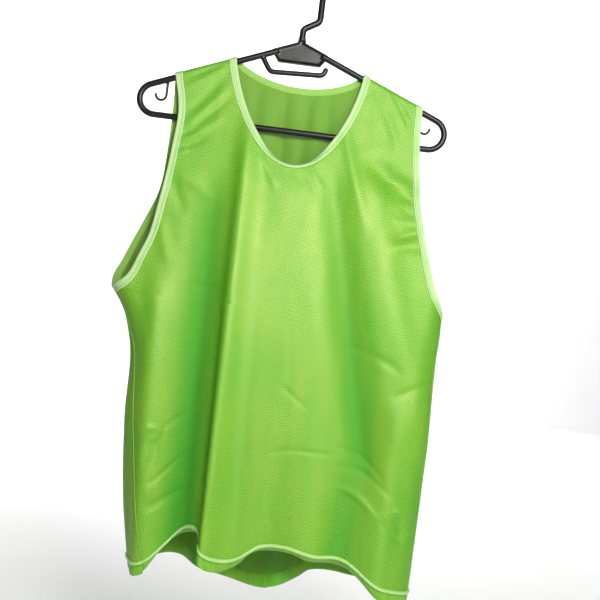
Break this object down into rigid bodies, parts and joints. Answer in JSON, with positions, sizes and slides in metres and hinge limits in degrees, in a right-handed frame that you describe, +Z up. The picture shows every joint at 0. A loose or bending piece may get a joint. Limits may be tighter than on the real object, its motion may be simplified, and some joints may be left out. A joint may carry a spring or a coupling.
{
  "type": "mesh training bib on a hanger",
  "caption": "Sleeveless pull-over training bib of polyester mesh with bound neck and armholes, hanging open on a moulded clothes hanger.",
  "frame": {"origin": "the point that holds it all: the inside of the crown of the hanger's hook", "axes": "+Z up, +X to the viewer's right across the shoulders, -Y out of the garment's front"},
  "size_m": [0.4508, 0.1498, 0.8554],
  "materials": {
    "mesh_fabric": "satin polyester micromesh",
    "binding_tape": "matt knitted tape",
    "hanger_plastic": "moulded, slightly glossy"
  },
  "bodies": {
    "root": {"front_panel": "mesh_fabric", "back_panel": "mesh_fabric", "front_hem": "mesh_fabric", "back_hem": "mesh_fabric", "neck_binding": "binding_tape", "armhole_binding_left": "binding_tape", "armhole_binding_right": "binding_tape", "hanger_arm_left": "hanger_plastic", "hanger_arm_right": "hanger_plastic", "hanger_end_left": "hanger_plastic", "hanger_end_right": "hanger_plastic", "hanger_lower_bar": "hanger_plastic", "hanger_web": "hanger_plastic", "hanger_tie_bar": "hanger_plastic", "hanger_hook": "hanger_plastic", "hanger_strap_hook_left": "hanger_plastic", "hanger_strap_hook_right": "hanger_plastic"}
  },
  "joints": []
}
